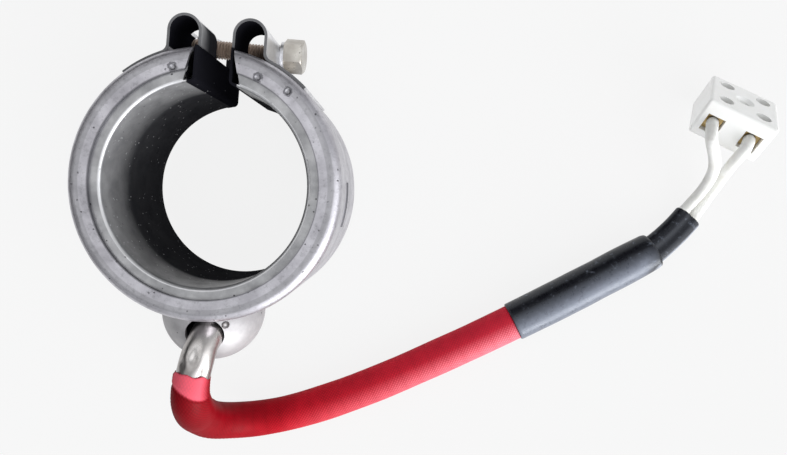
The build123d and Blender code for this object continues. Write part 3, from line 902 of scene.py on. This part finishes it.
# %% [markdown]
# ## The red sleeve
# The sleeve is braided glass fibre with a red coating. Two sets of strands wind round it, one
# each way, and pass over and under each other. A bump pattern would stay flat at the outline.
# Here the height of the upper strand is worked out for every point, so the braid is real relief.

# %% Braid
STRAND_SINKS = 0.35


def braid(along, turn, strands, pitch):
    """Height of a two-way braid from 0, in a groove, to 1, on top of a strand."""
    axial = along / pitch
    round_it = turn * strands / (2 * math.pi)
    first = axial + round_it
    second = axial - round_it
    even = (np.floor(first) + np.floor(second)) % 2 == 0
    upper = np.where(even, first, second) % 1.0
    lower = np.where(even, second, first) % 1.0
    ridge = np.sqrt(np.clip(1 - (2 * upper - 1) ** 2, 0, 1))
    dip = STRAND_SINKS * np.cos(2 * math.pi * (lower - 0.5)) + 1 - STRAND_SINKS
    return ridge * np.clip(dip, 0, 1)


def wander(values, size, seed):
    """Smooth noise from -1 to 1 along one row of values."""
    places = np.asarray(values, dtype=float).ravel()
    out = [noise.noise(Vector((place / size, seed, 0.5 * seed))) for place in places]
    return np.array(out).reshape(np.shape(values))


# %% The fold
CREASE_DEPTH = 0.32 * MM
CREASE_HALF = 0.5 * MM
CREASE_BEFORE = 0.4 * MM
FOLD_PLACE = 4.6 * MM
FOLD_SIDEWAYS = 1.4 * MM
FOLD_UPWARDS = 0.6 * MM


def crease_place(turn):
    """How far from the mouth the sleeve folds where it turns down from the elbow."""
    return FOLD_PLACE - FOLD_SIDEWAYS * np.cos(turn) - FOLD_UPWARDS * np.sin(turn)


def crease(along, turn):
    """How deep the fold is, from 0 to 1."""
    apart = np.abs(along - crease_place(turn) + CREASE_BEFORE)
    return np.clip(1.25 - apart / CREASE_HALF, 0, 1) * np.clip(np.sin(turn) + 0.3, 0, 1)


# %% The sleeve's shape
SLEEVE_RADIUS = 5.2 * MM
SLEEVE_STRANDS = 34
SLEEVE_PITCH = 0.95 * MM
SLEEVE_RELIEF = 0.16 * MM
SLACK_DEPTH = 0.10 * MM
SLACK_SIZE = 11 * MM
TIGHT_DEPTH = 0.45 * MM
TIGHT_LENGTH = 14 * MM
MOUTH_LENGTH = 2.5 * MM
MOUTH_CRUMPLE = 0.12 * MM
MOUTH_RAGGED = 0.25 * MM
MOUTH_PULLED = 1.1 * MM


def sleeve_shape(along, turn):
    """Round and a little uneven, tight over the elbow, ragged and crumpled at the mouth."""
    height = braid(along, turn, SLEEVE_STRANDS, SLEEVE_PITCH)
    slack = SLACK_DEPTH * wander(along, SLACK_SIZE, 3.0)
    mouth = np.exp(-along / MOUTH_LENGTH)
    tight = np.clip(1 - along / TIGHT_LENGTH, 0, 1)
    tight = tight * tight * (3 - 2 * tight)
    crumple = mouth * MOUTH_CRUMPLE * (np.sin(3 * turn + 0.6) + 0.5 * np.sin(5 * turn + 2.0))
    radius = SLEEVE_RADIUS - SLEEVE_RELIEF * (1 - height) + slack + crumple - TIGHT_DEPTH * tight
    radius = radius - CREASE_DEPTH * crease(along, turn)
    top = np.clip(np.sin(turn), 0, 1) ** 2
    ragged = MOUTH_RAGGED * (np.sin(4 * turn + 1.0) + 0.8 * np.sin(7 * turn))
    shift = mouth * (ragged - MOUTH_PULLED * top)
    return radius * np.cos(turn), radius * np.sin(turn), shift + 0 * radius


# %% Sleeve
SLEEVE_SIDES = 4 * SLEEVE_STRANDS
PALE_EDGE = 0.4 * MM
# The side of the lead that faces the light, right, front and up, where a highlight is painted
LIT_WAY = (0.45, -0.70, 0.55)

sleeve_length = distances(sleeve_line)[-1]
sleeve_stations = stations_of(sleeve_length, step=0.25 * MM, wall=0.35 * MM, deep=4 * MM)
sleeve = loft("red_sleeve", sleeve_line, sleeve_stations, SLEEVE_SIDES, sleeve_shape)
sleeve_along = np.array([place for place, inset in sleeve_stations])[:, None]
sleeve_turn = turns(SLEEVE_SIDES)[None, :]
note(sleeve, "strand", braid(sleeve_along, sleeve_turn, SLEEVE_STRANDS, SLEEVE_PITCH))
# The top of the sleeve before the fold, where a highlight is painted
before_fold = np.clip((crease_place(sleeve_turn) - sleeve_along) / PALE_EDGE, 0, 1)
on_top = np.clip(1.5 * np.sin(sleeve_turn), 0, 1)
note(sleeve, "pale", before_fold * on_top)
note(sleeve, "lit_side", lean(sleeve, LIT_WAY))

# %% [markdown]
# ## The sleeve's colour
# The coating is red, and the braid's grooves get painted shade. Near the dome the sleeve gets
# painted shade, its top before the fold a painted highlight, and further right it turns lighter,
# with a painted highlight on its strands on the side that faces the light. These reds could be
# painted on the mesh by hand. The values kept on it, and how far right a point lies, put each one
# in its place, and keep doing so when the braid is changed.

# %% Red braid
GROOVE_SHADE_RED = (0.24, 0.002, 0.006, 1)
STRAND_RED = (0.60, 0.005, 0.018, 1)
PATCH_RED = (0.80, 0.012, 0.03, 1)
TOP_HIGHLIGHT_RED = (0.85, 0.16, 0.22, 1)
SHADED_RED = (0.10, 0.0008, 0.003, 1)
FAR_RED = (0.86, 0.055, 0.10, 1)
SIDE_HIGHLIGHT_RED = (0.90, 0.50, 0.58, 1)
SHADED_REACH = (24 * MM, -2 * MM)
FAR_REACH = (15 * MM, 80 * MM)
SIDE_HIGHLIGHT_REACH = (18 * MM, 80 * MM)

red, tree, shader = material("red_braid")
place = place_on(tree)
across = axes_of(tree, place)[0]
strand = noted(tree, "strand")
top_highlight = noted(tree, "pale")
# Painted shade in the braid's grooves
tone = mix(tree, spread(tree, strand, 0.2, 0.9), GROOVE_SHADE_RED, STRAND_RED)
patch = clouds(tree, place, 5 * MM)
tone = mix(tree, spread(tree, patch, 0.4, 0.75, 0.0, 0.25), tone, PATCH_RED)
# A painted highlight on the top of the sleeve before the fold
tone = stain(tree, tone, top_highlight, 0.6, TOP_HIGHLIGHT_RED)
# Painted shade on the sleeve near the dome
shaded = spread(tree, across, *SHADED_REACH, 0.0, 0.82)
shaded = times(tree, shaded, calc(tree, "SUBTRACT", 1.0, top_highlight))
tone = mix(tree, shaded, tone, SHADED_RED)
# Lighter further right
tone = mix(tree, spread(tree, across, *FAR_REACH, 0.0, 0.4), tone, FAR_RED)
# A painted highlight on the strands on the side that faces the light, further right
side_highlight = spread(tree, across, *SIDE_HIGHLIGHT_REACH, 0.0, 0.62)
side_highlight = times(tree, side_highlight, spread(tree, noted(tree, "lit_side"), 0.3, 1.0))
side_highlight = times(tree, side_highlight, spread(tree, strand, 0.35, 0.85, 0.25, 1.0))
tone = mix(tree, side_highlight, tone, SIDE_HIGHLIGHT_RED)
tree.links.new(tone, shader.inputs["Base Color"])
shader.inputs["Roughness"].default_value = 0.5
shader.inputs["Specular IOR Level"].default_value = 0.04
shader.inputs["Coat Weight"].default_value = 0.06
shader.inputs["Coat Roughness"].default_value = 0.38
sleeve.data.materials.append(red)
print("red_braid nodes:", len(tree.nodes))

# %% [markdown]
# ## Shrink tube
# A short black tube was shrunk over the sleeve's end, and a narrower one over the two wires.
# Shrink tube is thin, glossy and tight, so it shows a little of what lies under it. A cylinder
# could be wrapped round with the Shrinkwrap modifier. A loft needs no tool below it, and gives
# the drawn-in end and the groove between the wires by formula.

# %% The shrink tubes' shapes
SHRINK_RADIUS = 5.7 * MM
DRAWN_DEPTH = 0.35 * MM
DRAWN_LENGTH = 4 * MM
RIPPLE_DEPTH = 0.07 * MM
RIPPLE_SIZE = 8 * MM
FLAT_HALF_WIDTH = 4.2 * MM
FLAT_HALF_HEIGHT = 2.4 * MM
FLAT_ROUNDNESS = 0.85
GROOVE_DEPTH = 0.16
GROOVE_WIDTH = 0.05
FLARE = 0.10
FLARE_LENGTH = 3 * MM

shrink_length = distances(shrink_line)[-1]
flat_length = distances(flat_line)[-1]


def shrink_shape(along, turn):
    """The wide tube: nearly round, drawn in a little at its far end."""
    drawn = DRAWN_DEPTH * np.exp(-(shrink_length - along) / DRAWN_LENGTH)
    ripple = RIPPLE_DEPTH * wander(along, RIPPLE_SIZE, 7.0) * (1 + np.sin(2 * turn))
    radius = SHRINK_RADIUS - drawn + ripple
    return radius * np.cos(turn), radius * np.sin(turn), 0 * radius


def flat_shape(along, turn):
    """The narrow tube, drawn down over two wires that lie side by side."""
    groove = 1 - GROOVE_DEPTH * np.exp(-((np.cos(turn)) ** 2) / GROOVE_WIDTH)
    wide = FLAT_HALF_WIDTH * np.sign(np.cos(turn)) * np.abs(np.cos(turn)) ** FLAT_ROUNDNESS
    high = FLAT_HALF_HEIGHT * np.sin(turn) * groove
    grow = 1 + FLARE * np.exp(-along / FLARE_LENGTH)
    return wide * grow, high * grow, 0 * wide * grow


# %% Shrink tubes
SHRINK_SIDES = 64
# The side that faces the key light, right and front, where a glint is painted on the narrow tube
KEY_WAY = (0.72, -0.62, 0.30)

shrink_stations = stations_of(shrink_length, step=0.8 * MM, wall=0.5 * MM, deep=3 * MM)
shrink = loft("black_shrink", shrink_line, shrink_stations, SHRINK_SIDES, shrink_shape)
flat_stations = stations_of(flat_length, step=0.5 * MM, wall=0.5 * MM, deep=3 * MM)
flat_shrink = loft("flat_black_shrink", flat_line, flat_stations, SHRINK_SIDES, flat_shape)
for piece in (shrink, flat_shrink):
    note(piece, "lit_side", lean(piece, LIT_WAY))
    note(piece, "key_side", lean(piece, KEY_WAY))

# %% Black shrink finish
DEEP_BLACK = (0.004, 0.004, 0.007, 1)
SCUFFED_BLACK = (0.12, 0.135, 0.17, 1)
PAINTED_SHEEN_GREY = (0.155, 0.17, 0.21, 1)
PAINTED_GLINT_GREY = (0.30, 0.32, 0.37, 1)
COOL_SHINE = (0.84, 0.90, 1.0, 1)
SHEEN_STOPS = (123 * MM, 119 * MM)
GLINT_STARTS = (122.5 * MM, 124 * MM)

black, tree, shader = material("black_shrink")
place = place_on(tree)
across = axes_of(tree, place)[0]
scuff = clouds(tree, place, 2.2 * MM, 6.0, 0.7)
tone = mix(tree, spread(tree, scuff, 0.58, 0.70), DEEP_BLACK, SCUFFED_BLACK)
# A painted sheen on the side of the tubes that faces the light, broken up by the scuffs
painted_sheen = spread(tree, noted(tree, "lit_side"), 0.05, 0.7)
painted_sheen = times(tree, painted_sheen, spread(tree, scuff, 0.3, 0.6, 0.75, 1.0))
painted_sheen = times(tree, painted_sheen, spread(tree, across, *SHEEN_STOPS))
tone = mix(tree, painted_sheen, tone, PAINTED_SHEEN_GREY)
# A painted glint on the narrow tube's side that faces the key light
painted_glint = spread(tree, noted(tree, "key_side"), 0.78, 0.93)
painted_glint = times(tree, painted_glint, spread(tree, across, *GLINT_STARTS))
tone = mix(tree, painted_glint, tone, PAINTED_GLINT_GREY)
tree.links.new(tone, shader.inputs["Base Color"])
tree.links.new(spread(tree, scuff, 0.4, 0.7, 0.26, 0.5), shader.inputs["Roughness"])
shader.inputs["Specular IOR Level"].default_value = 0.5
shader.inputs["Specular Tint"].default_value = COOL_SHINE
stand_out(tree, shader, scuff, 0.25, 0.1 * MM)
for piece in (shrink, flat_shrink):
    piece.data.materials.append(black)
print("black_shrink nodes:", len(tree.nodes))

# %% [markdown]
# ## White wires
# Each wire has a sleeve of braided glass fibre too, finer than the red one and uncoated. One
# mesh could be copied for both, but they bend differently, so each is a loft on its own line.
# The same braid is used, with fewer strands, and the finish is matt and a little soiled.

# %% Wires
WIRE_RADIUS = 1.6 * MM
WIRE_STRANDS = 12
WIRE_PITCH = 0.8 * MM
WIRE_RELIEF = 0.10 * MM
WIRE_SLACK = 0.04 * MM
WIRE_SLACK_SIZE = 5 * MM
WIRE_SIDES = 5 * WIRE_STRANDS


def wire_shape(along, turn):
    """The wire's surface, a fine braid."""
    height = braid(along, turn, WIRE_STRANDS, WIRE_PITCH)
    slack = WIRE_SLACK * wander(along, WIRE_SLACK_SIZE, 5.0)
    radius = WIRE_RADIUS - WIRE_RELIEF * (1 - height) + slack
    return radius * np.cos(turn), radius * np.sin(turn), 0 * radius


# %% White braid
CLEAN_WHITE = (0.86, 0.86, 0.84, 1)
SOILED_WHITE = (0.72, 0.71, 0.66, 1)

white, tree, shader = material("white_braid")
soil = clouds(tree, place_on(tree), 4 * MM)
tone = mix(tree, spread(tree, soil, 0.4, 0.8), CLEAN_WHITE, SOILED_WHITE)
tree.links.new(tone, shader.inputs["Base Color"])
shader.inputs["Roughness"].default_value = 0.6

wires = {}
for name, line in (("left", left_line), ("right", right_line)):
    wire_length = distances(line)[-1]
    wire_stations = stations_of(wire_length, step=0.2 * MM, wall=0.4 * MM, deep=1 * MM)
    wires[name] = loft(name + "_white_wire", line, wire_stations, WIRE_SIDES, wire_shape)
    wires[name].data.materials.append(white)

# %% [markdown]
# ## Ceramic
# The terminal block is glazed porcelain. White paint would do from afar, but a glaze is a clear
# skin over a duller body. The shader's coat is just that, so it is used here, with two whites.

# %% Ceramic
GLAZE_WHITE = (0.97, 0.97, 0.96, 1)
GLAZE_CREAM = (0.93, 0.93, 0.90, 1)

glaze, tree, shader = material("glazed_ceramic")
cloud = clouds(tree, place_on(tree), 6 * MM)
tone = mix(tree, spread(tree, cloud, 0.4, 0.8), GLAZE_WHITE, GLAZE_CREAM)
tree.links.new(tone, shader.inputs["Base Color"])
shader.inputs["Roughness"].default_value = 0.32
shader.inputs["Coat Weight"].default_value = 0.4
shader.inputs["Coat Roughness"].default_value = 0.12
dress(glaze, "terminal_block", "terminal_bush")

# %% [markdown]
# ## Brass and the other metals
# The connectors in the block are brass, the wires' bare ends nickel, the terminal screws plain
# steel, and the winding is an alloy that takes the heat. All are metals with the same clouds
# and grain, so the steel's finish makes each of them, with two tones of its own.

# %% Brass and the other metals
POLES = ("left", "right")
ENDS = ("lead", "supply")

brass = steel("brass", (0.68, 0.50, 0.24), (0.42, 0.30, 0.13), 0.30, pits=0.1)
dress(brass, "left_connector", "right_connector")
bright_wire = steel("bare_nickel", (0.62, 0.60, 0.56), (0.45, 0.43, 0.40), 0.35, pits=0.0)
dress(bright_wire, "left_conductor", "right_conductor")
screw_steel = steel("screw_steel", (0.50, 0.49, 0.47), (0.26, 0.25, 0.24), 0.34)
dress(screw_steel, *[pole + "_" + end + "_terminal_screw" for pole in POLES for end in ENDS])
alloy = steel("resistance_alloy", (0.42, 0.41, 0.38), (0.24, 0.23, 0.22), 0.38)
dress(alloy, "resistance_ribbon", "left_lead_strip", "right_lead_strip")
dress(post_steel, "left_terminal_post", "right_terminal_post")

# %% [markdown]
# ## Hidden layers
# Between the two sheets lie mica and a blanket of ceramic fibre. They show only as thin edges
# at the split, where they are painted black as shade. One dull material with two tones and a mask
# for the split does for both, and they keep the solids' own shapes.

# %% Mica and fibre
SPLIT_SHADE_HALF = 8.6 * MM
SPLIT_SHADE_FOOT = 20 * MM


def plain(name, light, dark, roughness, patch):
    """A dull material between two tones, such as mica or fibre, painted black as shade where the band
    is split.
    """
    made, tree, shader = material(name)
    place = place_on(tree)
    cloud = clouds(tree, place, patch, 5.0, 0.65)
    tone = mix(tree, spread(tree, cloud, 0.35, 0.65), (*light, 1), (*dark, 1))
    across, up = axes_of(tree, place)[:2]
    # Painted black shade on the edges inside the split
    split_shade = between(tree, across, -SPLIT_SHADE_HALF, SPLIT_SHADE_HALF, 0.3 * MM)
    split_shade = times(tree, split_shade, spread(tree, up, SPLIT_SHADE_FOOT, SPLIT_SHADE_FOOT + 1 * MM))
    tree.links.new(mix(tree, split_shade, tone, SHADE_BLACK), shader.inputs["Base Color"])
    shader.inputs["Roughness"].default_value = roughness
    stand_out(tree, shader, cloud, 0.3, 0.2 * MM)
    return made


mica = plain("mica", (0.42, 0.33, 0.20), (0.26, 0.19, 0.10), 0.35, patch=4 * MM)
dress(mica, "inner_mica", "winding_card", "outer_mica")
fibre = plain("ceramic_fibre", (0.82, 0.81, 0.76), (0.64, 0.62, 0.56), 0.9, patch=2 * MM)
dress(fibre, "insulation_blanket")

# %% [markdown]
# ## What stands for what
# Each new piece takes the place of a solid and rides on its body, so that it moves when the
# solid would. The lead could be one piece, but it bends, so the sleeve up to its shrink tubes
# and the two wires up to the block are pieces of their own.

# %% Ride and replace
for piece, solid, slot in (
    (sleeve, "lead_sleeve", "red_sleeve"),
    (shrink, "shrink_tube", "black_shrink"),
    (flat_shrink, "wire_shrink_tube", "black_shrink"),
    (wires["left"], "left_lead_wire", "white_braid"),
    (wires["right"], "right_lead_wire", "white_braid"),
    (elbow, "elbow_tube", "tube_steel"),
    (screw, "clamp_screw", "tarnished_steel"),
    (dome, "terminal_dome", "dome_steel"),
    (weld, "dome_tack_weld", "weld_steel"),
):
    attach(piece, "clamp_screw" if piece == screw else "band")
    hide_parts(solid)
    print(piece.name, "stands for", solid)

for name, line, length in (("left", left_line, 0.0397), ("right", right_line, 0.0396)):
    on_it = [name + "_connector", name + "_conductor"]
    on_it += [name + "_" + end + "_terminal_screw" for end in ENDS]
    print(name, "wire:", len(line), "points in its path")

# %% [markdown]
# ## Colour
# A view transform changes colours on their way to the picture. Standard changes them little,
# so a colour shows about as it is written.

# %% Finish
bpy.context.scene.view_settings.view_transform = "Standard"
